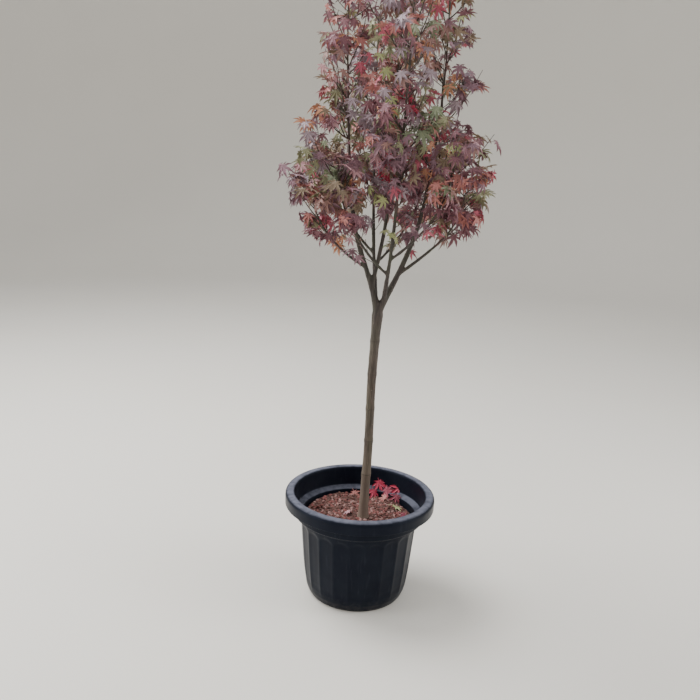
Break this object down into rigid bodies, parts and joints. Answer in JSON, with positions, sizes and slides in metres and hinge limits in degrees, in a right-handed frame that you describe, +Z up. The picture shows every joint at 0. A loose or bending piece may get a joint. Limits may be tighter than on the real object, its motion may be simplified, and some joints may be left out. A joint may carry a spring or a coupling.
{
  "type": "japanese maple tree in a pot",
  "caption": "Young Japanese maple in autumn leaf: one clear stem forking into a vase of upright boughs and loose foliage, in a ribbed round nursery pot.",
  "frame": {"origin": "centre of the pot's flat underside, where it stands on the ground", "axes": "+Z up, +X to the viewer's right and +Y away from the viewer in the picture"},
  "size_m": [0.6561, 0.6782, 2.062],
  "materials": {
    "pot": "satin blue-black moulded plastic, dusty on the lip",
    "soil": "coarse red-brown potting mix of bark and chips, matte",
    "bark": "smooth grey-brown young bark with faint rings, matte",
    "bough": "dark brown-grey bark, matte",
    "foliage": "thin autumn leaves, dull purple-red to crimson, orange and olive, matte"
  },
  "bodies": {
    "root": {"pot": "pot", "soil": "soil", "trunk": "bark", "bough_left": "bough", "bough_right": "bough", "bough_front": "bough", "bough_back": "bough", "bough_inner": "bough", "bough_low_right": "bough", "bough_low_left": "bough", "bough_front_left": "bough", "bough_front_right": "bough", "bough_back_right": "bough", "bough_back_left": "bough", "foliage_left": "foliage", "foliage_right": "foliage", "foliage_front": "foliage", "foliage_back": "foliage", "foliage_inner": "foliage", "foliage_low_right": "foliage", "foliage_low_left": "foliage", "foliage_front_left": "foliage", "foliage_front_right": "foliage", "foliage_back_right": "foliage", "foliage_back_left": "foliage"}
  },
  "joints": []
}
